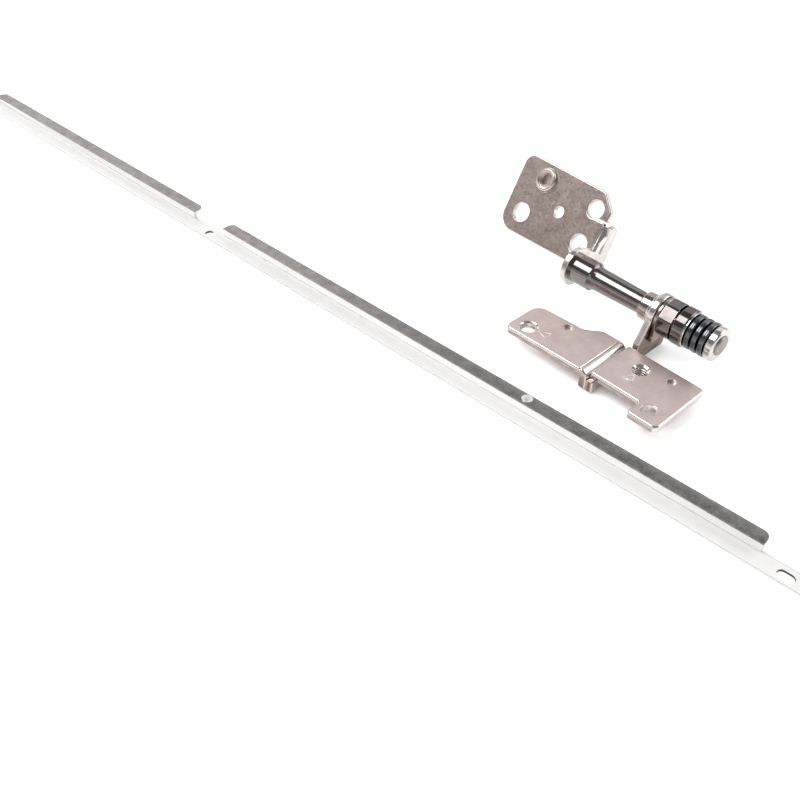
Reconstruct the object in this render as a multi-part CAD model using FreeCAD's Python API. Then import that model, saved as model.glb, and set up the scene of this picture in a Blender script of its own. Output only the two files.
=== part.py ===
import FreeCAD, Part
import math
import os

# A left-hand laptop display hinge and the long display rail that goes with it.
# Millimetres, +Z up. The origin is the centre of the screw hole in the base's front tab,
# at the underside of the wing, where the wing sits on its boss. +X runs along the hinge
# axis towards the spring end, +Y to the back of the laptop.

# Base brackets: two stampings back to back, folded down at a shared seam
base_sheet = 1.3
base_bend_inner = 0.2       # left wing's bend, rolled over its own inner radius
coined_corner = 0.6         # right wing's bend, coined to this outer radius
seam_x = -11.9              # from the tab screw hole to the plane where the two flanges meet
pleat_drop = 2.5            # how far the flanges reach below the wings
right_wing_length = 15.0    # from the seam to the free edge
wing_depth = 10.7           # front edge to back edge, beside the seam
wing_front_y = -0.3
right_wing_setback = 0.8    # right wing's front edge, behind the flange's front end
wing_corner = 0.9
tab_width = 5.5
tab_reach = 3.1             # ahead of the right wing's front edge
tab_corner = 1.1
arm_length = 17.4           # left wing, from the seam to its free end
arm_depth = 8.6
arm_skew = 0.5              # how far the arm's free end stands ahead of its root
arm_flare_x = 5.0           # from the seam to where the arm is at its full depth
arm_flare_run = 2.6
arm_front_corner = 1.2
arm_back_corner = 2.3

# Holes and formed marks of the base
screw_hole_d = 2.7
arm_hole_x = 14.2           # from the seam
arm_hole_y = 1.8
arm_hole_chamfer = 0.25
drawn_hole_x = 5.3          # tapped hole with a drawn collar, from the seam
drawn_hole_y = 6.75
drawn_hole_d = 2.1
drawn_collar_wall = 0.55
drawn_collar_drop = 1.2
drawn_entry = 0.4
pip_d = 1.7                 # half-sheared locating pips
pip_depth = 0.5
right_pip_x = 10.35
right_pip_y = 7.8
arm_pip_x = 9.6
arm_pip_y = 6.5

# Hinge axis and the upright ear that carries it
axis_y = 17.1
axis_z = 4.9
ear_r = 3.5
ear_foot_back = 2.2         # foot's back corner, behind the axis
ear_shoulder = 3.6          # height of the foot's front edge above the pleat's lower edge
ear_relief = 1.1            # gap between the wing's back edge and the ear
ear_relief_drop = 0.5       # how far the gap reaches below the wing
ear_corner = 0.6

# Shaft, turned in one piece and riveted over at both ends
neck_r = 1.9                # beside the collar; the neck tapers
neck_root_r = 2.1           # beside the shoulder
journal_r = 1.75
shoulder_r = 2.6
shoulder_length = 4.0
shoulder_taper = 0.45
collar_r = 2.45
collar_length = 2.0
collar_chamfer = 0.25
shaft_flat = 1.35           # half width across the flats that turn the moving cam
shaft_end_chamfer = 0.25
shaft_end_proud = 0.35
rivet_head_r = 2.3
rivet_head_h = 0.7
rivet_head_chamfer = 0.35
running_gap = 0.05          # round the shaft and beside faces that slide on each other
lid_ear_to_seam = 17.0      # from the seam to the lid ear's face against the shoulder

# Pieces threaded on the shaft beyond the ear
washer_r = 3.0
washer_thick = 0.45
friction_plate_thick = 0.8
friction_plate_r = 3.25
friction_tail_y = 2.3       # ahead of the axis
friction_tail_z = 3.4       # below the axis
friction_tail_r = 0.95
hook_width = 1.0
snug_fit = 0.05             # gap round pieces that sit in a pocket without turning
cam_r = 3.35
fixed_cam_length = 2.4
fixed_cam_flats = 8
fixed_cam_flat_depth = 0.16
moving_cam_length = 2.1
cam_chamfer = 0.22
detent_rise = 0.15          # lobes of the moving cam that drop into the fixed cam's pockets
detent_foot = 2.2           # a lobe's width at its foot and at its crest
detent_crest = 1.2
detent_gap = 0.1            # play round a lobe in its pocket
thrust_washer_r = 3.2
thrust_washer_thick = 0.25
spring_r = 3.05
spring_pairs = 3
spring_thick = 0.42
spring_cone = 0.21          # how far a disc spring is dished
nut_r = 2.95
nut_length = 1.4
nut_chamfer = 0.2

# Lid bracket: a plate behind the axis, folded back into the ear on the shaft
lid_sheet = 1.2
lid_bend_inner = 0.25
lid_open_deg = 121.2        # angle of the lid in the modelled pose, from closed
lid_offset = 4.25           # from the axis to the plate's front face
lid_length = 22.2           # from the ear's outer face to the free end
lid_height = 14.0
lid_rise = 0.75             # how much taller the plate is at its free end
lid_drop = 0.6              # plate's lower edge, below the level of the axis
lid_top_corner = 2.0
lid_low_corner = 3.2
lid_chamfer_run = 2.9
lid_chamfer_drop = 2.9
lid_chamfer_corner = 0.8
lid_lip = 0.9               # plate's edge above the fold, short of the ear's outer face
lid_lip_corner = 0.4
fold_low = 3.8              # fold line, measured up from the plate's lower edge
fold_high = 8.6
fold_relief = 0.6
slit_width = 0.2            # relief slit from the fold to the hole beside it
notch_r = 1.75
notch_x = 4.3               # relief notch, from the ear's outer face
notch_top = 3.7
lid_ear_r = 3.5
lid_ear_depth = 8.7         # from the axis to the ear's back edge
lid_ear_low = 1.9
lid_ear_high = 9.5
lid_ear_lean = 1.0          # how far the ear's back edge leans forward at the top
lid_ear_corner = 1.2
lid_boss_inset = 6.2        # from the free end; all lid holes have their height from the lower edge
lid_boss_h = 11.35
lid_boss_r = 2.3
lid_boss_top_r = 2.0
lid_boss_height = 0.8
lid_boss_hole_d = 3.0
lid_boss_floor = 0.4        # metal left under the boss's blind hole
lid_left_hole_inset = 3.9   # from the free end
lid_left_hole_h = 4.05
lid_left_hole_d = 3.6
lid_pin_hole_x = 10.8       # from the ear's outer face
lid_pin_hole_h = 7.2
lid_pin_hole_d = 2.1
lid_right_hole_x = 4.15     # from the ear's outer face
lid_right_hole_h = 10.5
lid_right_hole_d = 3.2

# Display rail: a thin folded strip that lies in front of the hinge
rail_sheet = 0.45
rail_turn_deg = 4.8
rail_seam_y = -11.45        # web's front face where it passes the seam
rail_height = 2.1
rail_top_flange = 2.5
rail_low_flange = 2.7
rail_corner = 1.2
rail_left_end = 170.8       # strip's ends, from the seam
rail_right_end = 46.5
upstand_left_end = 164.8    # the two stretches that carry the upper flange
upstand_gap_left = 86.3
upstand_gap_right = 77.2
upstand_right_end = 37.2
rail_hole_d = 1.6
rail_gap_hole_s = 80.0
rail_slot_length = 2.6
rail_slot_inset = 5.0       # screw slots, from each end of the strip

# Values worked out from the sizes above
base_bend_outer = base_bend_inner + base_sheet
lid_bend_outer = lid_bend_inner + lid_sheet
pleat_bottom = -pleat_drop
rail_hole_y = -rail_low_flange / 2.0
lid_tilt = 180.0 - lid_open_deg
lid_ear_x = seam_x - lid_ear_to_seam
lid_back_z = -lid_offset - lid_sheet
lid_boss_x = lid_length - lid_boss_inset
lid_left_hole_x = lid_length - lid_left_hole_inset
overlap = 0.02              # lets neighbouring blanks of one stamping fuse cleanly
beyond = 1.0                # how far cutters run past the faces they open
axis_way = FreeCAD.Vector(1, 0, 0)
axis_foot = FreeCAD.Vector(seam_x, axis_y, axis_z)


def vec(x, y, z=0.0):
    return FreeCAD.Vector(x, y, z)


def rounded_wire(corners):
    """Closed outline through (a, b, radius) corners, each rounded by its own radius."""
    count = len(corners)
    stretches = []
    for i in range(count):
        before = corners[i - 1]
        here = corners[i]
        after = corners[(i + 1) % count]
        corner = vec(here[0], here[1])
        to_before = (vec(before[0], before[1]) - corner).normalize()
        to_after = (vec(after[0], after[1]) - corner).normalize()
        radius = here[2]
        if radius <= 0.0:
            stretches.append((corner, None, corner))
            continue
        half = to_before.getAngle(to_after) / 2.0
        setback = radius / math.tan(half)
        middle_way = (to_before + to_after).normalize()
        middle = corner + middle_way * (radius / math.sin(half) - radius)
        stretches.append((corner + to_before * setback, middle, corner + to_after * setback))
    edges = []
    for i in range(count):
        start, middle, end = stretches[i]
        if middle is not None:
            edges.append(Part.Arc(start, middle, end).toShape())
        next_start = stretches[(i + 1) % count][0]
        if end.distanceToPoint(next_start) > 1e-6:
            edges.append(Part.LineSegment(end, next_start).toShape())
    return Part.Wire(edges)


def blank(corners, thickness):
    """Flat stamping in the XY plane, from Z = 0 up."""
    return Part.Face(rounded_wire(corners)).extrude(vec(0, 0, thickness))


def upright(shape, x):
    """Turns an XY blank into the YZ plane, its thickness along +X, starting at x."""
    shape.rotate(vec(0, 0, 0), vec(1, 1, 1), 120.0)
    shape.translate(vec(x, 0, 0))
    return shape


def along_axis(start, length, radius):
    """Cylinder on the hinge axis; start is measured from the seam."""
    return Part.makeCylinder(radius, length, axis_foot + axis_way * start, axis_way)


def ring(start, length, outer, inner):
    hole = along_axis(start - beyond, length + 2.0 * beyond, inner)
    return along_axis(start, length, outer).cut(hole)


def chamfer_rims(shape, radius, amount):
    """Chamfers the circular edges of a given radius."""
    rims = []
    for edge in shape.Edges:
        if isinstance(edge.Curve, Part.Circle) and abs(edge.Curve.Radius - radius) < 1e-6:
            rims.append(edge)
    return shape.makeChamfer(amount, rims)


def drill(x, y, diameter, top, bottom):
    return Part.makeCylinder(diameter / 2.0, top - bottom, vec(x, y, bottom))


def locating_pip(wing, x, y):
    """Half-sheared pip: a shallow round sink on top and the same disc standing out below."""
    sink = drill(x, y, pip_d, base_sheet + beyond, base_sheet - pip_depth)
    pip = drill(x, y, pip_d - 2.0 * snug_fit, overlap, -pip_depth)
    return wing.cut(sink).fuse(pip)


def left_fold():
    """Quarter bend between the left wing and its flange."""
    along = vec(0, 1, 0)
    outer = Part.makeCylinder(base_bend_outer, wing_depth, vec(0, 0, 0), along)
    inner = Part.makeCylinder(base_bend_inner, wing_depth, vec(0, 0, 0), along)
    quarter = Part.makeBox(base_bend_outer, wing_depth, base_bend_outer)
    bend = outer.cut(inner).common(quarter)
    bend.translate(vec(seam_x - base_bend_outer, wing_front_y, -base_bend_inner))
    return bend


def coin_corner(bracket):
    """Rounds the upper edge along the seam, where the right wing meets its flange."""
    middle = vec(seam_x, wing_front_y + (wing_depth + right_wing_setback) / 2.0, base_sheet)
    corner = min(bracket.Edges, key=lambda edge: edge.BoundBox.Center.distanceToPoint(middle))
    return bracket.makeFillet(coined_corner, [corner])


def make_right_bracket():
    """Right wing with its front tab, the flange below it and the ear on the shaft."""
    edge_x = seam_x + right_wing_length
    tab_x = edge_x - tab_width
    front_y = wing_front_y + right_wing_setback
    back_y = wing_front_y + wing_depth
    tab_y = front_y - tab_reach
    wing = blank([
        (seam_x, front_y, 0),
        (tab_x, front_y, wing_corner / 2.0),
        (tab_x, tab_y, tab_corner / 2.0),
        (edge_x, tab_y, tab_corner),
        (edge_x, back_y, wing_corner),
        (seam_x, back_y, 0),
    ], base_sheet)

    ear_front = back_y + ear_relief
    flange = blank([
        (wing_front_y, pleat_bottom, ear_corner),
        (axis_y + ear_foot_back, pleat_bottom, ear_corner),
        (axis_y + ear_r, axis_z, 0),
        (axis_y - ear_r, axis_z, 0),
        (ear_front, pleat_bottom + ear_shoulder, ear_corner),
        (ear_front, -ear_relief_drop, 0),
        (back_y, -ear_relief_drop, 0),
        (back_y, overlap, 0),
        (front_y, overlap, 0),
        (wing_front_y, 0, 0),
    ], base_sheet)
    eye = Part.makeCylinder(ear_r, base_sheet, vec(axis_y, axis_z, 0))
    flange = upright(flange.fuse(eye), seam_x)

    bracket = coin_corner(wing.fuse(flange).removeSplitter())
    journal = along_axis(-beyond, base_sheet + 2.0 * beyond, journal_r + running_gap)
    bracket = bracket.cut(journal)
    bracket = bracket.cut(hook_slot())
    bracket = bracket.cut(drill(0, 0, screw_hole_d, base_sheet + beyond, -beyond))
    bracket = locating_pip(bracket, seam_x + right_pip_x, right_pip_y)
    return drawn_hole(bracket).removeSplitter()


def drawn_hole(wing):
    """Tapped hole drawn downwards, with a rounded entry and a collar under the wing."""
    x = seam_x + drawn_hole_x
    y = drawn_hole_y
    bore = drawn_hole_d / 2.0
    collar = drill(x, y, drawn_hole_d + 2.0 * drawn_collar_wall, overlap, -drawn_collar_drop)
    through = drill(x, y, drawn_hole_d, base_sheet + beyond, -drawn_collar_drop - beyond)
    entry = Part.makeCone(bore, bore + drawn_entry, drawn_entry, vec(x, y, base_sheet - drawn_entry))
    return wing.fuse(collar).cut(through.fuse(entry))


def make_left_bracket():
    """Left wing, a long arm, with its flange flat against the right bracket's flange."""
    flat_x = seam_x - base_bend_outer + overlap
    end_x = seam_x - arm_length
    flare_x = seam_x - arm_flare_x
    back_y = wing_front_y + wing_depth
    arm_back_y = wing_front_y + arm_depth
    flare_r = (back_y - arm_back_y) / 2.0
    wing = blank([
        (end_x, wing_front_y - arm_skew, arm_front_corner),
        (flat_x, wing_front_y, 0),
        (flat_x, back_y, 0),
        (flare_x, back_y, flare_r),
        (flare_x - arm_flare_run, arm_back_y, flare_r),
        (end_x, arm_back_y - arm_skew, arm_back_corner),
    ], base_sheet)
    flange = blank([
        (wing_front_y, pleat_bottom, ear_corner),
        (wing_front_y + wing_depth, pleat_bottom, ear_corner),
        (wing_front_y + wing_depth, -base_bend_inner + overlap, 0),
        (wing_front_y, -base_bend_inner + overlap, 0),
    ], base_sheet)
    bracket = wing.fuse([left_fold(), upright(flange, seam_x - base_sheet)])
    hole_x = seam_x - arm_hole_x
    hole_r = screw_hole_d / 2.0
    countersink_z = base_sheet - arm_hole_chamfer
    hole = drill(hole_x, arm_hole_y, screw_hole_d, base_sheet + beyond, -beyond)
    rim = Part.makeCone(hole_r, hole_r + arm_hole_chamfer, arm_hole_chamfer,
                        vec(hole_x, arm_hole_y, countersink_z))
    bracket = bracket.cut(hole.fuse(rim))
    return locating_pip(bracket, seam_x - arm_pip_x, arm_pip_y).removeSplitter()


def tail_point():
    return vec(axis_y - friction_tail_y, axis_z - friction_tail_z)


def hook_block(width, start, length):
    """Block across the friction plate's tail, square to it; start is measured from the seam."""
    tail = tail_point()
    reach = friction_tail_r + snug_fit
    block = Part.makeBox(length, reach, width, vec(0, -reach, -width / 2.0))
    slope = math.degrees(math.atan2(friction_tail_z, friction_tail_y))
    block.rotate(vec(0, 0, 0), vec(1, 0, 0), slope)
    block.translate(vec(seam_x + start, tail.x, tail.y))
    return block


def hook_slot():
    """Slot through the ear that the friction plate's hook sits in."""
    return hook_block(hook_width + 2.0 * snug_fit, -beyond, base_sheet + 2.0 * beyond)


def make_friction_plate():
    """Teardrop plate against the ear; the hook on its tail stops it from turning."""
    tail = tail_point()
    to_tail = (tail - vec(axis_y, axis_z)).normalize()
    across = vec(-to_tail.y, to_tail.x)
    centre = vec(axis_y, axis_z)
    neck = [
        centre + across * friction_plate_r,
        centre - across * friction_plate_r,
        tail - across * friction_tail_r,
        tail + across * friction_tail_r,
    ]
    web = blank([(point.x, point.y, 0) for point in neck], friction_plate_thick)
    eye = Part.makeCylinder(friction_plate_r, friction_plate_thick, centre)
    tip = Part.makeCylinder(friction_tail_r, friction_plate_thick, tail)
    plate = upright(web.fuse([eye, tip]), seam_x + base_sheet)
    hook = hook_block(hook_width, 0.0, base_sheet + overlap)
    hole = along_axis(0.0, base_sheet + friction_plate_thick + beyond, journal_r + running_gap)
    return plate.fuse(hook).cut(hole).removeSplitter()


def stack():
    """Where each piece on the shaft starts, measured from the seam."""
    starts = {}
    starts["washer"] = -running_gap - washer_thick
    starts["collar"] = starts["washer"] - collar_length
    starts["fixed_cam"] = base_sheet + friction_plate_thick
    starts["moving_cam"] = starts["fixed_cam"] + fixed_cam_length + detent_rise + running_gap
    starts["thrust"] = starts["moving_cam"] + moving_cam_length
    starts["springs"] = starts["thrust"] + thrust_washer_thick
    starts["nut"] = starts["springs"] + 2 * spring_pairs * (spring_thick + spring_cone)
    starts["end"] = starts["nut"] + nut_length + shaft_end_proud
    return starts


def flatted_bar(start, length):
    """The shaft's round bar with two flats; the holes of the pieces it turns have this shape."""
    corner = vec(seam_x + start, axis_y - journal_r, axis_z - shaft_flat)
    slab = Part.makeBox(length, 2.0 * journal_r, 2.0 * shaft_flat, corner)
    slab.rotate(axis_foot, axis_way, lid_tilt)
    return along_axis(start, length, journal_r).common(slab)


def edge_x(edge):
    return edge.BoundBox.Center.x


def make_shaft():
    """Shaft turned in one piece: rivet head, shoulder, neck, collar, journal and flatted tail."""
    at = stack()
    left = -lid_ear_to_seam
    shoulder_end = left + shoulder_length
    head = along_axis(left - lid_sheet - rivet_head_h, rivet_head_h, rivet_head_r)
    head = head.makeChamfer(rivet_head_chamfer, [min(head.Edges, key=edge_x)])
    spigot = flatted_bar(left - lid_sheet - overlap, lid_sheet + 2.0 * overlap)
    shoulder = along_axis(left, shoulder_length, shoulder_r)
    taper_foot = axis_foot + axis_way * shoulder_end
    taper = Part.makeCone(shoulder_r, neck_root_r, shoulder_taper, taper_foot, axis_way)
    neck_start = shoulder_end + shoulder_taper
    neck_foot = axis_foot + axis_way * neck_start
    neck = Part.makeCone(neck_root_r, neck_r, at["collar"] - neck_start, neck_foot, axis_way)
    collar = chamfer_rims(along_axis(at["collar"], collar_length, collar_r), collar_r, collar_chamfer)
    journal_end = at["moving_cam"]
    journal = along_axis(at["washer"], journal_end - at["washer"], journal_r)
    tail = flatted_bar(journal_end, at["nut"] + nut_length - journal_end)
    rivet = along_axis(at["nut"] + nut_length, shaft_end_proud, journal_r)
    rivet = rivet.makeChamfer(shaft_end_chamfer, [max(rivet.Edges, key=edge_x)])
    return head.fuse([spigot, shoulder, taper, neck, collar, journal, tail, rivet]).removeSplitter()


def detent_bar(foot_start, play, turn_deg):
    """Tapered bar across the axis; where it passes through a ring it leaves two ramped lobes."""
    foot = detent_foot / 2.0 + play
    crest = detent_crest / 2.0 + play
    tip = foot_start - detent_rise
    corners = [
        vec(seam_x + foot_start, axis_y - foot, axis_z - cam_r),
        vec(seam_x + foot_start, axis_y + foot, axis_z - cam_r),
        vec(seam_x + tip, axis_y + crest, axis_z - cam_r),
        vec(seam_x + tip, axis_y - crest, axis_z - cam_r),
    ]
    bar = Part.Face(Part.makePolygon(corners + corners[:1])).extrude(vec(0, 0, 2.0 * cam_r))
    bar.rotate(axis_foot, axis_way, turn_deg)
    return bar


def make_fixed_cam():
    """Cam that stays with the base: flats round it, pockets for the closed lid in its face."""
    start = stack()["fixed_cam"]
    cam = ring(start, fixed_cam_length, cam_r, journal_r + running_gap)
    corner = vec(seam_x + start, axis_y - cam_r, axis_z + cam_r - fixed_cam_flat_depth)
    for i in range(fixed_cam_flats):
        cutter = Part.makeBox(fixed_cam_length, 2.0 * cam_r, cam_r, corner)
        cutter.rotate(axis_foot, axis_way, 360.0 * i / fixed_cam_flats)
        cam = cam.cut(cutter)
    closed_deg = lid_tilt + lid_open_deg
    return cam.cut(detent_bar(start + fixed_cam_length, detent_gap, closed_deg))


def keyed_ring(start, length, outer):
    """Ring whose hole follows the shaft's flats, so that it turns with the shaft."""
    hole = flatted_bar(start - beyond, length + 2.0 * beyond)
    return along_axis(start, length, outer).cut(hole)


def make_moving_cam():
    """Cam that turns with the shaft, its lobes resting on the fixed cam's face."""
    start = stack()["moving_cam"]
    cam = keyed_ring(start, moving_cam_length, cam_r)
    cam = chamfer_rims(cam, cam_r, cam_chamfer)
    lobe_r = cam_r - cam_chamfer
    rim = ring(start - detent_rise, detent_rise + overlap, lobe_r, journal_r + running_gap)
    return cam.fuse(rim.common(detent_bar(start + overlap, 0.0, lid_tilt))).removeSplitter()


def make_disc_spring(index):
    """Dished disc spring; neighbours are turned about, so that their rims meet in pairs."""
    at = stack()
    pitch = spring_thick + spring_cone
    start = seam_x + at["springs"] + index * pitch
    rim_right = index % 2 == 0
    rim = spring_cone if rim_right else 0.0
    bore = 0.0 if rim_right else spring_cone
    inner = journal_r + running_gap
    corners = [
        vec(start + bore, axis_y, axis_z + inner),
        vec(start + rim, axis_y, axis_z + spring_r),
        vec(start + rim + spring_thick, axis_y, axis_z + spring_r),
        vec(start + bore + spring_thick, axis_y, axis_z + inner),
    ]
    section = Part.Face(Part.makePolygon(corners + corners[:1]))
    return section.revolve(axis_foot, axis_way, 360.0)


def make_end_nut():
    at = stack()
    nut = keyed_ring(at["nut"], nut_length, nut_r)
    return chamfer_rims(nut, nut_r, nut_chamfer)


def lid_place(shape):
    """Swings a lid piece from its drawing position to its place on the open hinge.

    It is drawn with X from the ear's outer face, Y up the plate from the level of the axis
    and Z towards the front, so the plate lies at negative Z, behind the axis.
    """
    shape.rotate(vec(0, 0, 0), axis_way, lid_tilt)
    shape.translate(vec(lid_ear_x, axis_y, axis_z))
    return shape


def lid_level(height):
    """Y of a height that is measured up from the plate's lower edge."""
    return height - lid_drop


def lid_hole(x, height, diameter, floor=-beyond):
    """Drill in from the front, through the plate unless a floor is left at its back."""
    depth = lid_sheet + lid_boss_height + 2.0 * beyond
    foot = vec(-x, lid_level(height), lid_back_z + floor)
    return Part.makeCylinder(diameter / 2.0, depth, foot)


def lid_fold():
    """Quarter bend from the plate's edge back into the ear."""
    span = fold_high - fold_low
    up = vec(0, 1, 0)
    outer = Part.makeCylinder(lid_bend_outer, span, vec(0, 0, 0), up)
    inner = Part.makeCylinder(lid_bend_inner, span, vec(0, 0, 0), up)
    quarter = Part.makeBox(lid_bend_outer, span, lid_bend_outer)
    bend = outer.cut(inner).common(quarter)
    bend.translate(vec(-lid_bend_outer, lid_level(fold_low), -lid_offset - lid_bend_outer))
    return bend


def lid_ear():
    """Ear on the shaft, drawn from the axis towards the back and turned upright."""
    fold_back = lid_offset + lid_bend_outer - overlap
    ear = blank([
        (0, -lid_ear_r, 0),
        (lid_ear_depth, lid_ear_low, lid_ear_corner),
        (lid_ear_depth - lid_ear_lean, lid_ear_high, lid_ear_corner),
        (fold_back, lid_level(fold_high), 0),
        (fold_back, lid_level(fold_low), 0),
        (0, lid_ear_r, 0),
    ], lid_sheet)
    ear = ear.fuse(Part.makeCylinder(lid_ear_r, lid_sheet))
    ear.rotate(vec(0, 0, 0), vec(0, 1, 0), 90.0)
    ear.translate(vec(-lid_sheet, 0, 0))
    return ear


def make_lid_bracket():
    """Lid plate, its fold and the ear on the shaft, with screw holes and a drawn boss."""
    flat_x = -lid_bend_outer + overlap
    relief = fold_high + fold_relief
    plate = blank([
        (-lid_length, lid_level(0), lid_low_corner),
        (-notch_x, lid_level(0), 0),
        (-notch_x, lid_level(notch_top), 0),
        (flat_x, lid_level(notch_top), 0),
        (flat_x, lid_level(relief), 0),
        (-lid_lip, lid_level(relief), lid_lip_corner),
        (-lid_lip, lid_level(lid_height - lid_chamfer_drop), lid_chamfer_corner),
        (-lid_lip - lid_chamfer_run, lid_level(lid_height), lid_chamfer_corner),
        (-lid_length, lid_level(lid_height + lid_rise), lid_top_corner),
    ], lid_sheet)
    plate.translate(vec(0, 0, lid_back_z))
    boss_foot = vec(-lid_boss_x, lid_level(lid_boss_h), -lid_offset - overlap)
    boss = Part.makeCone(lid_boss_r, lid_boss_top_r, lid_boss_height + overlap, boss_foot)
    slit_foot = vec(-lid_right_hole_x, lid_level(relief - slit_width), lid_back_z - beyond)
    slit = Part.makeBox(lid_right_hole_x, slit_width, lid_sheet + 2.0 * beyond, slit_foot)
    bracket = plate.cut([slit, lid_hole(notch_x, notch_top, 2.0 * notch_r)])
    bracket = bracket.fuse([lid_fold(), lid_ear(), boss])
    bracket = bracket.cut([
        lid_hole(lid_boss_x, lid_boss_h, lid_boss_hole_d, lid_boss_floor),
        lid_hole(lid_left_hole_x, lid_left_hole_h, lid_left_hole_d),
        lid_hole(lid_pin_hole_x, lid_pin_hole_h, lid_pin_hole_d),
        lid_hole(lid_right_hole_x, lid_right_hole_h, lid_right_hole_d),
    ])
    spigot = flatted_bar(-lid_ear_to_seam - lid_sheet - beyond, lid_sheet + 2.0 * beyond)
    return lid_place(bracket).cut(spigot).removeSplitter()


def rail_place(shape):
    """Lays the rail, drawn along X with its web's front face at Y = 0, on the table."""
    shape.rotate(vec(0, 0, 0), vec(0, 0, 1), rail_turn_deg)
    shape.translate(vec(seam_x, rail_seam_y, pleat_bottom))
    return shape


def upstand(left, right):
    """Web and upper flange over one stretch of the rail, with the far corners rounded."""
    length = right - left
    web = Part.makeBox(length, rail_sheet, rail_height - overlap, vec(left, 0, 0))
    top = blank([
        (left, 0, 0),
        (right, 0, 0),
        (right, rail_top_flange, rail_corner),
        (left, rail_top_flange, rail_corner),
    ], rail_sheet)
    top.translate(vec(0, 0, rail_height - rail_sheet))
    return web.fuse(top)


def rail_slot(centre):
    """Round-ended screw slot through the lower flange."""
    run = rail_slot_length - rail_hole_d
    left = centre - run / 2.0
    depth = rail_sheet + 2.0 * beyond
    corner = vec(left, rail_hole_y - rail_hole_d / 2.0, -beyond)
    middle = Part.makeBox(run, rail_hole_d, depth, corner)
    ends = [drill(x, rail_hole_y, rail_hole_d, rail_sheet + beyond, -beyond) for x in (left, left + run)]
    return middle.fuse(ends)


def make_rail():
    """Thin Z-section strip with a break in its upper flange and screw tabs at its ends."""
    strip = blank([
        (-rail_left_end, -rail_low_flange, rail_corner),
        (rail_right_end, -rail_low_flange, rail_corner),
        (rail_right_end, rail_sheet, rail_corner),
        (-rail_left_end, rail_sheet, rail_corner),
    ], rail_sheet)
    rail = strip.fuse([
        upstand(-upstand_left_end, -upstand_gap_left),
        upstand(-upstand_gap_right, upstand_right_end),
    ])
    rail = rail.cut([
        drill(-rail_gap_hole_s, rail_hole_y, rail_hole_d, rail_sheet + beyond, -beyond),
        rail_slot(rail_right_end - rail_slot_inset),
        rail_slot(-rail_left_end + rail_slot_inset),
    ])
    return rail_place(rail.removeSplitter())


def make_parts():
    at = stack()
    parts = {
        "base_bracket_right": make_right_bracket(),
        "base_bracket_left": make_left_bracket(),
        "friction_plate": make_friction_plate(),
        "fixed_cam": make_fixed_cam(),
        "display_rail": make_rail(),
        "hinge_shaft": make_shaft(),
        "lid_bracket": make_lid_bracket(),
        "collar_washer": ring(at["washer"], washer_thick, washer_r, journal_r),
        "moving_cam": make_moving_cam(),
        "thrust_washer": ring(at["thrust"], thrust_washer_thick, thrust_washer_r, journal_r),
        "end_nut": make_end_nut(),
    }
    for index in range(2 * spring_pairs):
        parts["disc_spring_%d" % (index + 1)] = make_disc_spring(index)
    return parts


def main():
    os.makedirs("parts", exist_ok=True)
    for name, shape in make_parts().items():
        solids = len(shape.Solids)
        print("%-20s valid %s solids %d volume %.2f mm3" % (name, shape.isValid(), solids, shape.Volume))
        shape.exportStep("parts/%s.step" % name)


main()
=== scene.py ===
# %% [markdown]
# A laptop display hinge and the long rail that goes with it, dressed for a studio picture.
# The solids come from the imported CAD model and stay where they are. This script gives them
# the rounded edges of stamped sheet, the turned and plated finishes, and the small formed
# details, then adds a pale floor, soft light and a camera.

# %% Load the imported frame
import math
import bmesh
import bpy
from mathutils import Matrix, Vector


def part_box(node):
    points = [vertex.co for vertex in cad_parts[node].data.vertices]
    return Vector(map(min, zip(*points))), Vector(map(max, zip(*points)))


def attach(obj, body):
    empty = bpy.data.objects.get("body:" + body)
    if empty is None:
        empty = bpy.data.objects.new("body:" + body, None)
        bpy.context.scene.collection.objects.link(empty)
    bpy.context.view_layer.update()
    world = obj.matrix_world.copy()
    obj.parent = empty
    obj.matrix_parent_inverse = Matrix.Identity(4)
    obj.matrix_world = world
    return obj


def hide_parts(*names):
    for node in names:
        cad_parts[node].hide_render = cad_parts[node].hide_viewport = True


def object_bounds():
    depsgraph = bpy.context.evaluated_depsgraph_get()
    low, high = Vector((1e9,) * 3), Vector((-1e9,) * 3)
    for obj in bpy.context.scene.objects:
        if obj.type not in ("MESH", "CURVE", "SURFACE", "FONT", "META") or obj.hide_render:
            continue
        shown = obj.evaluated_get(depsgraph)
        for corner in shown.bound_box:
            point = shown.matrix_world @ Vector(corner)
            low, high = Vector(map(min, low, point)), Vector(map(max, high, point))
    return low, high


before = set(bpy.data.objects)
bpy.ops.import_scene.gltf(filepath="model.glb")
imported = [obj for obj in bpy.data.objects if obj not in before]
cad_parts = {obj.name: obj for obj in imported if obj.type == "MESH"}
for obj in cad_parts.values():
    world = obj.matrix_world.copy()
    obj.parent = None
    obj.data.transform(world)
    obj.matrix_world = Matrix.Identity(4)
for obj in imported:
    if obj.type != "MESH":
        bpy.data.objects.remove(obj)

MM = 0.001
cad_box = [list(corner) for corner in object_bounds()]
scene = bpy.context.scene
print("CAD box in mm:", [[round(value / MM, 2) for value in corner] for corner in cad_box])

# %% [markdown]
# Some details below follow a bend, a hole or the seam of the solids, so a few sizes of the CAD
# model are needed again. Lengths are in millimetres, and only the hinge's axis is already in the
# metres that Blender uses. The seam is the plane where the two base flanges meet.

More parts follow.
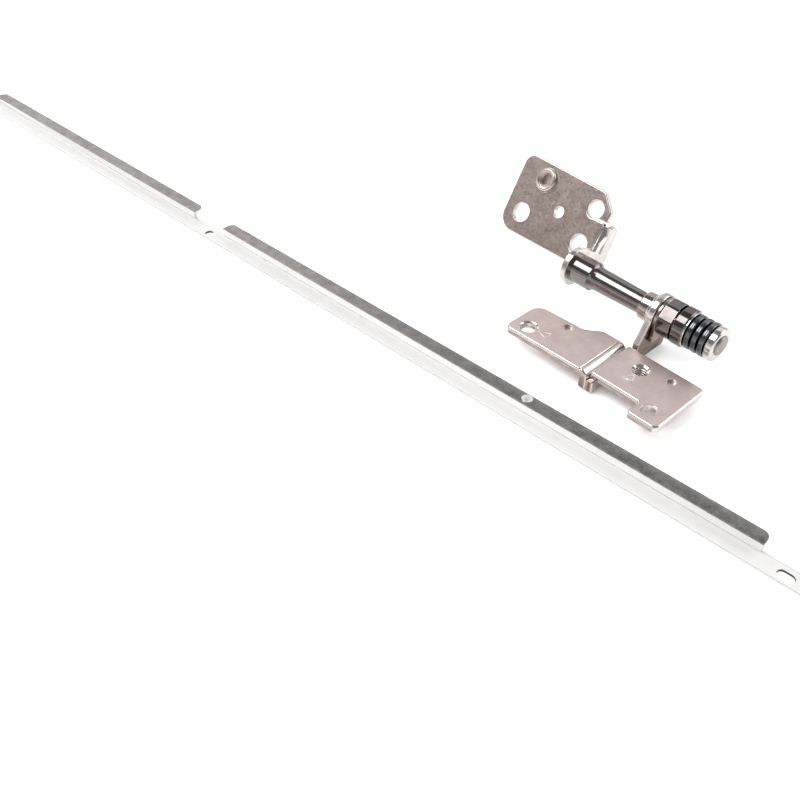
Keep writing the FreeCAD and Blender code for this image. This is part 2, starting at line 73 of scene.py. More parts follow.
# %% Sizes shared with the CAD
base_sheet = 1.3
left_bend_inner = 0.2
left_bend_outer = 1.5
coined_corner = 0.6
seam_x = -11.9
ear_start_y = 10.5
tapped_hole_from_seam = 5.3
tapped_hole_y = 6.75
lid_sheet = 1.2
lid_open_deg = 121.2
lid_offset = 4.25
lid_length = 22.2
lid_drop = 0.6
lid_bend_outer = 1.45
lid_ear_to_seam = 17.0
boss_inset = 6.2
boss_height = 11.35
boss_top_radius = 2.0
boss_radius = 1.5
spring_bore_radius = 1.8
spring_dish = 0.21
rail_sheet = 0.45
rail_turn = math.radians(4.8)
rail_seam_y = -11.45
rail_top_flange = 2.5
rail_hole_inset = 1.35
hinge_axis = Vector((seam_x, 17.1, 4.9)) * MM
print("hinge axis in mm:", [round(value / MM, 2) for value in hinge_axis])

# %% [markdown]
# The camera comes next.
# Its place was found by matching holes and corners of the solids to the picture: it looks down
# on the hinge from the front right. Building its axes from an azimuth, an elevation and a small
# roll keeps the three numbers readable.

# %% Camera
camera_azimuth = math.radians(47.618)
camera_elevation = math.radians(42.821)
camera_roll = math.radians(0.253)
camera_eye = Vector((47.97, -95.19, 95.59)) * MM
camera_focal_pixels = 901.10
image_pixels = 800
sensor_width_mm = 36.0

level_right = Vector((math.cos(camera_azimuth), math.sin(camera_azimuth), 0.0))
camera_back = Vector((
    math.sin(camera_azimuth) * math.cos(camera_elevation),
    -math.cos(camera_azimuth) * math.cos(camera_elevation),
    math.sin(camera_elevation),
))
level_up = camera_back.cross(level_right)
camera_right = level_right * math.cos(camera_roll) + level_up * math.sin(camera_roll)
camera_up = level_up * math.cos(camera_roll) - level_right * math.sin(camera_roll)

camera_data = bpy.data.cameras.new("hinge_camera")
camera_data.sensor_width = sensor_width_mm
camera_data.lens = camera_focal_pixels / image_pixels * sensor_width_mm
camera_data.clip_start = 0.002
camera = bpy.data.objects.new("hinge_camera", camera_data)
scene.collection.objects.link(camera)
turn = Matrix((camera_right, camera_up, camera_back)).transposed().to_4x4()
camera.matrix_world = Matrix.Translation(camera_eye) @ turn
scene.camera = camera
print("camera lens %.2f mm" % camera_data.lens)

# %% [markdown]
# Materials are node trees, and a node tree is easier to follow when each line of code says one
# thing. These helpers add a node with its settings and give short names to the mixes and the
# arithmetic that come up again and again. Wherever they take a value, it may also be another
# node's socket.

# %% Node helpers
def feed(tree, value, socket):
    """Links a socket to an input, or sets the input to a plain value."""
    if isinstance(value, bpy.types.NodeSocket):
        tree.links.new(value, socket)
    else:
        socket.default_value = value


def add_node(tree, kind, values=None, **settings):
    """Adds a node, sets its properties, and links or sets its inputs."""
    node = tree.nodes.new(kind)
    for name, value in settings.items():
        setattr(node, name, value)
    for socket, value in (values or {}).items():
        feed(tree, value, node.inputs[socket])
    return node


def mix_colour(tree, factor, first, second):
    """Mixes two colours."""
    values = {0: factor, 6: first, 7: second}
    return add_node(tree, "ShaderNodeMix", values, data_type="RGBA").outputs[2]


def spread(tree, value, from_low, from_high, to_low=0.0, to_high=1.0):
    """Maps one range of values onto another, held at its ends."""
    values = dict(enumerate((value, from_low, from_high, to_low, to_high)))
    return add_node(tree, "ShaderNodeMapRange", values).outputs[0]


def math_node(tree, operation, first, second=0.0):
    """Result of one step of arithmetic on two numbers."""
    return add_node(tree, "ShaderNodeMath", {0: first, 1: second}, operation=operation).outputs[0]


def both(tree, first, second):
    """Mask that is 1 only where both masks are."""
    return math_node(tree, "MULTIPLY", first, second)


def vector_node(tree, operation, first, second=(0.0, 0.0, 0.0)):
    """The same for vectors; a length or a dot product gives a number."""
    node = add_node(tree, "ShaderNodeVectorMath", {0: first, 1: second}, operation=operation)
    return node.outputs["Value" if operation in ("LENGTH", "DOT_PRODUCT") else "Vector"]


def join_xyz(tree, x=0.0, y=0.0, z=0.0):
    """Vector from three numbers."""
    return add_node(tree, "ShaderNodeCombineXYZ", {0: x, 1: y, 2: z}).outputs[0]


def object_place(tree):
    """Place on the object, in its own coordinates."""
    return add_node(tree, "ShaderNodeTexCoord").outputs["Object"]


def rgb(red, green, blue):
    """Colour from the 0 to 255 numbers of a screen, as the linear values that shaders use."""
    linear = []
    for value in (red, green, blue):
        share = value / 255.0
        linear.append(share / 12.92 if share <= 0.04045 else ((share + 0.055) / 1.055) ** 2.4)
    return (linear[0], linear[1], linear[2], 1.0)


print("node helpers ready")

# %% [markdown]
# Plated steel is never one flat grey. The plating bath leaves cloudy patches a millimetre or
# two across, and the rolled sheet under it has a finer grain. Both are noise at two scales, and
# since nearly every piece here is plated, they live in one node group with their sizes as
# inputs. The group puts out two values, and each material decides what to do with them.

# %% Shader group: plating clouds and grain
def new_group(name, inputs, outputs):
    """Starts a shader node group with named float inputs and outputs."""
    group = bpy.data.node_groups.new(name, "ShaderNodeTree")
    for label, value in inputs:
        socket = group.interface.new_socket(label, in_out="INPUT", socket_type="NodeSocketFloat")
        socket.default_value = value
    for label in outputs:
        group.interface.new_socket(label, in_out="OUTPUT", socket_type="NodeSocketFloat")
    return group, add_node(group, "NodeGroupInput"), add_node(group, "NodeGroupOutput")


plating, plating_in, plating_out = new_group(
    "plating_clouds",
    [("Cloud Scale", 600.0), ("Grain Scale", 4000.0)],
    ["Clouds", "Grain"],
)
noises = (
    ("Cloud Scale", "Clouds", {"Detail": 5.0, "Roughness": 0.62, "Distortion": 0.4}),
    ("Grain Scale", "Grain", {"Detail": 2.0, "Roughness": 0.5}),
)
plating_place = object_place(plating)
for label, result, values in noises:
    place_and_scale = {"Vector": plating_place, "Scale": plating_in.outputs[label]}
    noise = add_node(plating, "ShaderNodeTexNoise", {**place_and_scale, **values})
    plating.links.new(spread(plating, noise.outputs["Fac"], 0.3, 0.7), plating_out.inputs[result])
print("group", plating.name, "with", len(plating.nodes), "nodes")

# %% [markdown]
# Handling rubs a plated edge brighter than the faces beside it. The Bevel node gives the normal
# that a rounded edge would have; where it differs from the true normal, there is an edge nearby.
# That difference is the wear mask, broken up by noise so that it isn't a drawn line. On the
# cams the same mask, turned almost full on, paints bright edge highlights.

# %% Shader group: edge wear and painted edge highlights
edge_wear_and_glint, wear_in, wear_out = new_group(
    "edge_wear_and_glint",
    [("Width", 0.0004), ("Strength", 1.0)],
    ["Edge"],
)
rounded_normal = add_node(
    edge_wear_and_glint, "ShaderNodeBevel", {"Radius": wear_in.outputs["Width"]}, samples=6).outputs["Normal"]
true_normal = add_node(edge_wear_and_glint, "ShaderNodeNewGeometry").outputs["Normal"]
facing = vector_node(edge_wear_and_glint, "DOT_PRODUCT", rounded_normal, true_normal)
near_edge = spread(edge_wear_and_glint, facing, 0.99, 0.85)
breakup_noise = add_node(
    edge_wear_and_glint, "ShaderNodeTexNoise",
    {"Vector": object_place(edge_wear_and_glint), "Scale": 900.0, "Detail": 3.0},
)
broken_up = spread(edge_wear_and_glint, breakup_noise.outputs["Fac"], 0.25, 0.6, 0.45, 1.0)
wear_and_glint = math_node(edge_wear_and_glint, "MULTIPLY", near_edge, broken_up)
wear_and_glint_amount = math_node(edge_wear_and_glint, "MULTIPLY", wear_and_glint, wear_in.outputs["Strength"])
edge_wear_and_glint.links.new(wear_and_glint_amount, wear_out.inputs["Edge"])
print("group", edge_wear_and_glint.name, "with", len(edge_wear_and_glint.nodes), "nodes")

# %% [markdown]
# Two more marks of manufacture. Turned pieces carry fine rings round the axis that they spun
# on. Sheared edges of stamped sheet carry short lines across the thickness. Each is a noise
# whose place is stretched first, so one group with three stretch inputs serves both.

# %% Shader group: tool lines
tool_lines, lines_in, lines_out = new_group(
    "tool_lines",
    [("Along X", 1.0), ("Along Y", 1.0), ("Along Z", 1.0), ("Scale", 1000.0)],
    ["Lines"],
)
stretch_labels = ("Along X", "Along Y", "Along Z")
stretch = join_xyz(tool_lines, *(lines_in.outputs[label] for label in stretch_labels))
line_noise = add_node(tool_lines, "ShaderNodeTexNoise", {
    "Vector": vector_node(tool_lines, "MULTIPLY", object_place(tool_lines), stretch),
    "Scale": lines_in.outputs["Scale"], "Detail": 3.0, "Roughness": 0.6,
})
line_share = spread(tool_lines, line_noise.outputs["Fac"], 0.3, 0.7)
tool_lines.links.new(line_share, lines_out.inputs["Lines"])
print("group", tool_lines.name, "with", len(tool_lines.nodes), "nodes")

# %% [markdown]
# Forming polishes some faces of a stamping and leaves others as they came off the roll, and some
# faces are painted darker as shade. Which face is which can be read from the object-space normal:
# its share along a given direction is near 1 on the faces that look that way, or straight away
# from it.

# %% Shader group: which way a face looks
face_way, way_in, way_out = new_group(
    "face_way",
    [("Way X", 0.0), ("Way Y", 0.0), ("Way Z", 1.0), ("Low", 0.8), ("High", 0.95)],
    ["Mask"],
)
way = join_xyz(face_way, *(way_in.outputs[label] for label in ("Way X", "Way Y", "Way Z")))
own_normal = add_node(face_way, "ShaderNodeTexCoord").outputs["Normal"]
way_share = math_node(face_way, "ABSOLUTE", vector_node(face_way, "DOT_PRODUCT", own_normal, way))
way_mask = spread(face_way, way_share, way_in.outputs["Low"], way_in.outputs["High"])
face_way.links.new(way_mask, way_out.inputs["Mask"])
print("group", face_way.name, "with", len(face_way.nodes), "nodes")

# %% [markdown]
# The wall of a hole gets a colour of its own: in the lid's tapped bore it is painted pale as
# light, and in the holes punched through the rail's strip it is painted dark as shade. A point is
# inside a hole when its distance from the hole's axis is less than the radius and it lies above
# the floor, so this group takes an axis, a radius and a floor and puts out a mask.

# %% Shader group: inside of a round hole
in_hole, hole_in, hole_out = new_group(
    "in_hole",
    [("Centre X", 0.0), ("Centre Y", 0.0), ("Centre Z", 0.0), ("Way Y", 0.0), ("Way Z", 1.0),
     ("Radius", 0.001), ("Floor", -1.0)],
    ["Mask"],
)
centre_labels = ("Centre X", "Centre Y", "Centre Z")
hole_centre = join_xyz(in_hole, *(hole_in.outputs[label] for label in centre_labels))
hole_way = join_xyz(in_hole, 0.0, hole_in.outputs["Way Y"], hole_in.outputs["Way Z"])
from_centre = vector_node(in_hole, "SUBTRACT", object_place(in_hole), hole_centre)
from_axis = vector_node(in_hole, "CROSS_PRODUCT", from_centre, hole_way)
axis_distance = vector_node(in_hole, "LENGTH", from_axis)
along_axis = vector_node(in_hole, "DOT_PRODUCT", from_centre, hole_way)
inside = math_node(in_hole, "LESS_THAN", axis_distance, hole_in.outputs["Radius"])
above_floor = math_node(in_hole, "GREATER_THAN", along_axis, hole_in.outputs["Floor"])
in_hole.links.new(both(in_hole, inside, above_floor), hole_out.inputs["Mask"])
print("group", in_hole.name, "with", len(in_hole.nodes), "nodes")

# %% [markdown]
# Every metal here starts in the same way: a Principled shader that is all metal, with one or more
# finishes. A finish is a colour that runs from a darker to a lighter tone with the clouds and is
# lifted along worn edges (on the cams, a painted highlight), and a roughness that follows the
# grain. Where a piece has several, masks choose between them, by which way a face looks or by
# where it is on the object; some of those choices paint shade, and one paints light. A small
# bump makes the tool lines catch the light.

# %% Plated metal builder
def place_group(tree, group, **values):
    """Puts a shader group into a material and sets its inputs."""
    inputs = {label.replace("_", " "): value for label, value in values.items()}
    return add_node(tree, "ShaderNodeGroup", inputs, node_tree=group)


def new_metal(name):
    """Starts a material that is all metal, and gives it back with its node tree."""
    material = bpy.data.materials.new(name)
    material.use_nodes = True
    material.node_tree.nodes["Principled BSDF"].inputs["Metallic"].default_value = 1.0
    return material, material.node_tree


def finish(tree, dark, light, wear_and_glint, roughness, clouds, grain, wear_and_glint_mm=0.3, wear_and_glint_share=0.5):
    """Nodes of one finish: its colour and its roughness.

    dark and light are the ends of the clouded tone, wear_and_glint is the colour of rubbed edges
    and, on the cams, of painted edge highlights; roughness is a range, and clouds and grain are the
    scales of the two noises.
    """
    plated = place_group(tree, plating, Cloud_Scale=clouds, Grain_Scale=grain)
    edges = place_group(tree, edge_wear_and_glint, Width=wear_and_glint_mm * MM, Strength=wear_and_glint_share)
    cloud_share = math_node(tree, "MULTIPLY", plated.outputs["Clouds"], 0.6)
    grain_share = math_node(tree, "MULTIPLY", plated.outputs["Grain"], 0.4)
    tone = math_node(tree, "ADD", cloud_share, grain_share)
    colour = mix_colour(tree, tone, dark, light)
    colour = mix_colour(tree, edges.outputs["Edge"], colour, wear_and_glint)
    return colour, spread(tree, plated.outputs["Grain"], 0.0, 1.0, roughness[0], roughness[1])


def choose(tree, mask, first, second):
    """Takes the first finish where the mask is 0 and the second where it is 1."""
    colour = mix_colour(tree, mask, first[0], second[0])
    values = {0: mask, 2: first[1], 3: second[1]}
    return colour, add_node(tree, "ShaderNodeMix", values, data_type="FLOAT").outputs[0]


def wire_metal(tree, chosen, lines, bump_mm):
    """Joins a finish to the shader and adds the tool lines as a bump."""
    along_x, along_y, along_z, scale = lines
    marks = place_group(
        tree, tool_lines, Along_X=along_x, Along_Y=along_y, Along_Z=along_z, Scale=scale)
    bump = add_node(tree, "ShaderNodeBump", {
        "Strength": 0.3, "Distance": bump_mm * MM, "Height": marks.outputs["Lines"],
    })
    shader = tree.nodes["Principled BSDF"]
    tree.links.new(chosen[0], shader.inputs["Base Color"])
    tree.links.new(chosen[1], shader.inputs["Roughness"])
    tree.links.new(bump.outputs["Normal"], shader.inputs["Normal"])


def object_height(tree, axis, low, high):
    """Mask that goes from 0 to 1 between two places along an axis of the object."""
    parts = add_node(tree, "ShaderNodeSeparateXYZ", {0: object_place(tree)})
    return spread(tree, parts.outputs[axis], low * MM, high * MM)


def object_reach(tree, way, low, high):
    """Mask that goes from 0 to 1 between two distances along any direction, from the origin."""
    reach = vector_node(tree, "DOT_PRODUCT", object_place(tree), tuple(way))
    return spread(tree, reach, low * MM, high * MM)


even_lines = (1.0, 1.0, 1.0, 5000.0)
turned_lines = (1.0, 0.02, 0.02, 9000.0)
print("plated metal builder ready")

# %% [markdown]
# The base brackets are nickel on steel. Their flat wings are satin with a warm cast; the bends
# and rims were polished by forming and tumbling and are nearly white. Below the wings, the sheared
# ends of the flanges are browner and show lines across the sheet, because the punch tears the last
# part of the thickness. The wings' front faces under the rolled edge are painted darker as shade,
# and the broad sides of the ear are painted browner as shade.

# %% Nickel of the base
ear_blend = 0.2
base_nickel, tree = new_metal("base_nickel")
satin = finish(
    tree, rgb(204, 186, 182), rgb(228, 213, 209), rgb(244, 238, 234), (0.34, 0.46), 420.0, 5200.0)
formed_bright = finish(
    tree, rgb(206, 197, 191), rgb(234, 229, 225), rgb(250, 248, 246), (0.14, 0.24), 500.0, 5200.0)
flat_wing = place_group(tree, face_way, Way_Z=1.0, Low=0.90, High=0.985).outputs["Mask"]
wing_finish = choose(tree, flat_wing, formed_bright, satin)
torn_lines = place_group(
    tree, tool_lines, Along_X=1.0, Along_Y=1.0, Along_Z=0.08, Scale=4200.0).outputs["Lines"]
torn_tone = mix_colour(tree, torn_lines, rgb(104, 84, 76), rgb(180, 160, 151))
side_lines = place_group(
    tree, tool_lines, Along_X=0.15, Along_Y=0.15, Along_Z=1.0, Scale=3000.0).outputs["Lines"]
# The wings' front faces take this darker tone, which is painted shade under the rolled edge.
front_face_painted_shade = mix_colour(tree, side_lines, rgb(146, 131, 124), rgb(196, 182, 175))
below_wing = object_height(tree, "Z", 0.1, -0.2)
torn_and_shaded_tone = mix_colour(tree, below_wing, front_face_painted_shade, torn_tone)
end_face = place_group(
    tree, face_way, Way_Z=0.0, Way_Y=1.0, Low=0.86, High=0.98).outputs["Mask"]
below_roll = object_height(tree, "Z", 0.95, 0.75)
before_ear = object_height(tree, "Y", ear_start_y + ear_blend, ear_start_y)
sheared_and_shaded_faces = both(tree, both(tree, end_face, below_roll), before_ear)
side_face = place_group(
    tree, face_way, Way_X=1.0, Way_Z=0.0, Low=0.86, High=0.98).outputs["Mask"]
past_wing = object_height(tree, "Y", ear_start_y, ear_start_y + ear_blend)
# The ear's broad sides take this darker, browner tone, which is painted shade.
ear_painted_shade = mix_colour(tree, side_lines, rgb(104, 88, 80), rgb(176, 158, 149))
base_tone = mix_colour(tree, sheared_and_shaded_faces, wing_finish[0], torn_and_shaded_tone)
base_tone = mix_colour(tree, both(tree, side_face, past_wing), base_tone, ear_painted_shade)
wire_metal(tree, (base_tone, wing_finish[1]), even_lines, 0.003)
print("base_nickel", len(tree.nodes), "nodes")

# %% [markdown]
# The lid bracket's plate is greyer and more clouded, with larger patches: the grey is painted
# shade on the plate's face. Its fold and ear are as bright as the base's. The wall of the blind
# hole in its boss is painted pale as light in the bore, and a little rough. The plate leans with
# the lid, so its direction is worked out from the angle at which the lid stands open.

# %% Nickel of the lid bracket
lid_tilt = math.radians(180.0 - lid_open_deg)
lid_front = Vector((0.0, -math.sin(lid_tilt), math.cos(lid_tilt)))
lid_up = Vector((0.0, math.cos(lid_tilt), math.sin(lid_tilt)))
boss_reach = lid_ear_to_seam + lid_length - boss_inset
boss_rise = boss_height - lid_drop
boss_centre = hinge_axis + Vector((-boss_reach, 0.0, 0.0)) * MM + lid_up * boss_rise * MM
# The floor is measured from the hinge's axis, along the direction in which the plate looks.
bore_floor = -5.2
bore_margin = 0.02
lid_nickel, tree = new_metal("lid_nickel")
clouded_painted_shade = finish(
    tree, rgb(148, 135, 129), rgb(187, 172, 165), rgb(232, 226, 220), (0.32, 0.48), 460.0, 2600.0)
folded_bright = finish(
    tree, rgb(204, 197, 192), rgb(236, 232, 228), rgb(250, 248, 246), (0.14, 0.26), 500.0, 5200.0)
# Bore wall: painted light, a pale tone that lifts the shade inside the boss's hole.
bore_painted_light = finish(
    tree, rgb(206, 188, 180), rgb(242, 232, 226), rgb(246, 238, 233), (0.25, 0.40), 900.0, 6000.0)
# The plate's face gets the darker clouded finish, which is painted shade.
shaded_plate_face = place_group(
    tree, face_way, Way_X=0.0, Way_Y=lid_front.y, Way_Z=lid_front.z, Low=0.93, High=0.99)
boss_bore = place_group(
    tree, in_hole, Centre_X=boss_centre.x, Centre_Y=boss_centre.y, Centre_Z=boss_centre.z,
    Way_Y=lid_front.y, Way_Z=lid_front.z, Radius=(boss_radius + bore_margin) * MM,
    Floor=bore_floor * MM,
)
lid_finish = choose(tree, shaded_plate_face.outputs["Mask"], folded_bright, clouded_painted_shade)
lid_finish = choose(tree, boss_bore.outputs["Mask"], lid_finish, bore_painted_light)
wire_metal(tree, lid_finish, even_lines, 0.004)
print("lid_nickel", len(tree.nodes), "nodes")

# %% [markdown]
# The turned shaft and the two cams are black nickel, glossy enough to show sharp bands of light;
# fine rings from the lathe run round them. The shaft's collar was rubbed bright in the lathe, and
# its riveted end is bare satin steel. The cams take a darker copy of the black nickel as painted
# shade, and their edges are painted bright as highlights. The washers and the nut are bright
# nickel, the friction plate is ground and painted a little darker and browner as shade, and the
# lines struck into the wings are painted pale as highlights, and rough. The disc springs are
# blackened spring steel with a cold tint.

# %% Black nickel, bright nickel and spring steel
collar_length = 2.0
collar_blend = 0.05
shaft_end_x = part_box("end_nut")[1].x / MM
black_nickel, tree = new_metal("black_nickel")
plated_black = finish(
    tree, (0.190, 0.166, 0.160, 1.0), (0.280, 0.252, 0.245, 1.0), (0.60, 0.56, 0.54, 1.0),
    (0.08, 0.15), 500.0, 5000.0, 0.18, 0.35)
bare_end = finish(
    tree, rgb(146, 132, 130), rgb(184, 172, 169), rgb(222, 214, 210), (0.35, 0.5), 900.0, 6000.0)
rubbed_bright = finish(
    tree, rgb(150, 140, 135), rgb(200, 192, 188), rgb(250, 248, 246), (0.08, 0.16), 600.0, 6000.0)
riveted = object_height(tree, "X", shaft_end_x + 0.02, shaft_end_x + 0.06)
collar_end_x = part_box("collar_washer")[0].x / MM
collar_start_x = collar_end_x - collar_length
after_start = object_height(
    tree, "X", collar_start_x - collar_blend, collar_start_x + collar_blend)
before_end = object_height(tree, "X", collar_end_x + 0.2, collar_end_x + 0.1)
with_collar = choose(tree, both(tree, after_start, before_end), plated_black, rubbed_bright)
wire_metal(tree, choose(tree, riveted, with_collar, bare_end), turned_lines, 0.0015)

# Cams: a darker copy of black nickel, which is painted shade, with edges painted bright as highlights.
cam_painted_shade_highlight, tree = new_metal("cam_painted_shade_highlight")
cam_shade_highlight_finish = finish(
    tree, (0.128, 0.113, 0.109, 1.0), (0.205, 0.186, 0.180, 1.0), (0.86, 0.83, 0.81, 1.0),
    (0.08, 0.15), 500.0, 5000.0, 0.22, 0.95)
wire_metal(tree, cam_shade_highlight_finish, turned_lines, 0.0015)

bright_nickel, tree = new_metal("bright_nickel")
bright = finish(
    tree, rgb(200, 193, 188), rgb(236, 232, 229), rgb(252, 250, 248), (0.10, 0.20), 600.0, 6000.0, 0.2)
wire_metal(tree, bright, turned_lines, 0.0015)

# Struck lines: pale, rough nickel, which is a painted highlight along the raised lines.
struck_line_highlight, tree = new_metal("struck_line_highlight")
struck_highlight_finish = finish(
    tree, rgb(238, 230, 226), rgb(252, 249, 247), rgb(254, 253, 252), (0.55, 0.68), 900.0, 6000.0)
wire_metal(tree, struck_highlight_finish, even_lines, 0.001)

# Friction plate: ground nickel made darker and browner, which is painted shade.
friction_painted_shade, tree = new_metal("friction_painted_shade")
ground_painted_shade = finish(
    tree, rgb(146, 130, 125), rgb(190, 174, 168), rgb(236, 230, 226), (0.16, 0.26), 600.0, 6000.0, 0.2)
wire_metal(tree, ground_painted_shade, even_lines, 0.002)

spring_black, tree = new_metal("spring_black")
blackened = finish(
    tree, (0.105, 0.107, 0.122, 1.0), (0.195, 0.200, 0.220, 1.0), (0.32, 0.33, 0.35, 1.0),
    (0.14, 0.22), 700.0, 6000.0, 0.2, 0.3)
wire_metal(tree, blackened, turned_lines, 0.002)
print("black_nickel, cam_painted_shade_highlight, bright_nickel, struck_line_highlight, friction_painted_shade, spring_black")

# %% [markdown]
# The rail is thin zinc-coated strip. Its lower flange is pale, painted a little darker towards the
# left as shade; its web is bright enough to mirror the floor, and its upper flange carries a
# darker, blotched coat that was wiped thinner towards the left and along its back edge. A grey
# line of painted shade marks the fold at the web's foot and the strip's free back edge, and the
# walls of the punched holes are painted dark as shade. One material serves all of it: the height
# above the table and the distance across the rail, read from Object coordinates, tell one
# stretch from another.

# %% Zinc of the rail
rail_low, rail_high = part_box("display_rail")
rail_top = rail_high.z / MM
strip_top = rail_low.z / MM + rail_sheet
rail_along = Vector((math.cos(rail_turn), math.sin(rail_turn), 0.0))
rail_across = Vector((-math.sin(rail_turn), math.cos(rail_turn), 0.0))
flange_back_edge = -7.91
strip_back_edge = flange_back_edge - rail_top_flange + rail_sheet
hole_line = Vector((seam_x, rail_seam_y, 0.0)) - rail_across * rail_hole_inset
# Along the rail from the seam: the two ends of each slot, and the round hole at the gap. The
# reach is past the holes' own radius, so that it takes in the slots' straight sides as well.
hole_runs = (-166.3, -165.3, -80.0, 41.0, 42.0)
hole_reach = 0.97
# Painted shade: grey for the fold line and the back edge, dark for the hole walls.
fold_painted_shade = rgb(206, 203, 201)
back_edge_painted_shade = rgb(186, 183, 182)
hole_painted_shade = rgb(84, 79, 78)

rail_zinc, tree = new_metal("rail_zinc")
pale = finish(
    tree, rgb(245, 243, 241), rgb(252, 251, 249), rgb(254, 254, 253), (0.35, 0.45), 260.0, 2400.0)
# Towards the left the pale strip is painted a little darker, which is painted shade.
pale_left_painted_shade = finish(
    tree, rgb(230, 229, 228), rgb(242, 241, 240), rgb(250, 250, 250), (0.35, 0.45), 260.0, 2400.0)
coated = finish(
    tree, rgb(74, 72, 72), rgb(148, 145, 144), rgb(200, 198, 197), (0.34, 0.48), 640.0, 3600.0)
wiped = finish(
    tree, rgb(106, 101, 99), rgb(172, 166, 163), rgb(206, 202, 199), (0.34, 0.48), 520.0, 3000.0)
bright_web = finish(
    tree, rgb(252, 252, 252), rgb(254, 254, 254), rgb(254, 254, 254), (0.14, 0.20), 260.0, 2400.0)

to_left = object_height(tree, "X", -14.0, -62.0)
to_back = object_reach(tree, rail_across, flange_back_edge - 1.3, flange_back_edge - 0.1)
thin_coat = math_node(tree, "MAXIMUM", to_left, math_node(tree, "MULTIPLY", to_back, 0.7))
upper = object_height(tree, "Z", rail_top - 0.2, rail_top - 0.08)
upright_face = place_group(
    tree, face_way, Way_Y=1.0, Way_Z=0.0, Low=0.8, High=0.96).outputs["Mask"]
above_strip = object_height(tree, "Z", strip_top - 0.06, strip_top - 0.02)
web_face = both(tree, upright_face, above_strip)
near_fold = object_height(tree, "Z", strip_top + 0.32, strip_top + 0.05)
at_back = object_reach(tree, rail_across, strip_back_edge - 0.24, strip_back_edge - 0.12)
on_strip = object_height(tree, "Z", strip_top + 0.06, strip_top + 0.02)
below_top = object_height(tree, "Z", strip_top - 0.02, strip_top - 0.08)

strip_finish = choose(tree, web_face, choose(tree, to_left, pale, pale_left_painted_shade), bright_web)
# The fold at the web's foot and the strip's back edge get a line of painted shade.
strip_tone = mix_colour(tree, both(tree, web_face, near_fold), strip_finish[0], fold_painted_shade)
strip_tone = mix_colour(tree, both(tree, at_back, on_strip), strip_tone, back_edge_painted_shade)
# The walls of the punched holes are painted dark, which is painted shade.
for run in hole_runs:
    spot = (hole_line + rail_along * run) * MM
    punched = place_group(
        tree, in_hole, Centre_X=spot.x, Centre_Y=spot.y, Radius=hole_reach * MM).outputs["Mask"]
    strip_tone = mix_colour(tree, both(tree, punched, below_top), strip_tone, hole_painted_shade)
flange_finish = choose(tree, thin_coat, coated, wiped)
rail_finish = choose(tree, upper, (strip_tone, strip_finish[1]), flange_finish)
wire_metal(tree, rail_finish, (0.25, 1.0, 1.0, 1500.0), 0.0012)
web_share = spread(tree, web_face, 0.0, 1.0, 0.12, 0.92)
flange_share = math_node(tree, "MULTIPLY", upper, 0.6)
mirror_share = math_node(tree, "MAXIMUM", web_share, flange_share)
tree.links.new(mirror_share, tree.nodes["Principled BSDF"].inputs["Metallic"])
print("rail_zinc", len(tree.nodes), "nodes")

# %% [markdown]
# A CAD solid has knife-sharp edges, and real stamped sheet doesn't: punching rolls the edge over
# on one side, and tumbling takes the burr off the other. Those small radii are what catches the
# light along every edge in the picture. The node's own mesh is left alone. A copy has its loose
# triangles merged and its flat faces joined up, then a Bevel modifier rounds the edges, Weighted
# Normals keep the flats looking flat, and the result becomes a plain mesh that stands for the node.

# %% Rounded copies of the solids
flat_angle = math.radians(0.4)
sharp_angle = math.radians(34.0)
crease_angle = math.radians(40.0)
merge_distance = 1e-7


def plain_mesh(thing, name):
    """Evaluates an object's modifiers into a plain mesh on the same object."""
    scene.collection.objects.link(thing)
    bpy.context.view_layer.update()
    evaluated = thing.evaluated_get(bpy.context.evaluated_depsgraph_get())
    mesh = bpy.data.meshes.new_from_object(evaluated)
    mesh.name = name
    thing.modifiers.clear()
    thing.data = mesh
    return thing


def joined_up(node):
    """Copy of a node's mesh with its loose triangles merged and its flat faces joined up."""
    work = bmesh.new()
    work.from_mesh(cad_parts[node].data)
    bmesh.ops.remove_doubles(work, verts=work.verts, dist=merge_distance)
    bmesh.ops.dissolve_limit(work, angle_limit=flat_angle, verts=work.verts, edges=work.edges)
    return work


def on_plane(point, way):
    """Test for places on a plane."""
    return lambda place: abs((place - point).dot(way)) < 1e-5


def on_bend(point, way, radius):
    """Test for places on a cylinder, such as the outside of a bend."""
    return lambda place: abs((place - point).cross(way).length - radius) < 1.5e-5


def total_length(edges):
    """Length of a list of edges."""
    return sum(edge.calc_length() for edge in edges)


def outline_edges(edges, skin):
    """Of the edges on a skin made of planes and bends, those of the longest connected outline."""
    left = {
        edge for edge in edges
        if all(any(test(vert.co) for test in skin) for vert in edge.verts)
    }
    best = []
    while left:
        reached = [left.pop()]
        for edge in reached:
            for vert in edge.verts:
                for other in vert.link_edges:
                    if other in left:
                        left.remove(other)
                        reached.append(other)
        best = max(best, reached, key=total_length)
    return best


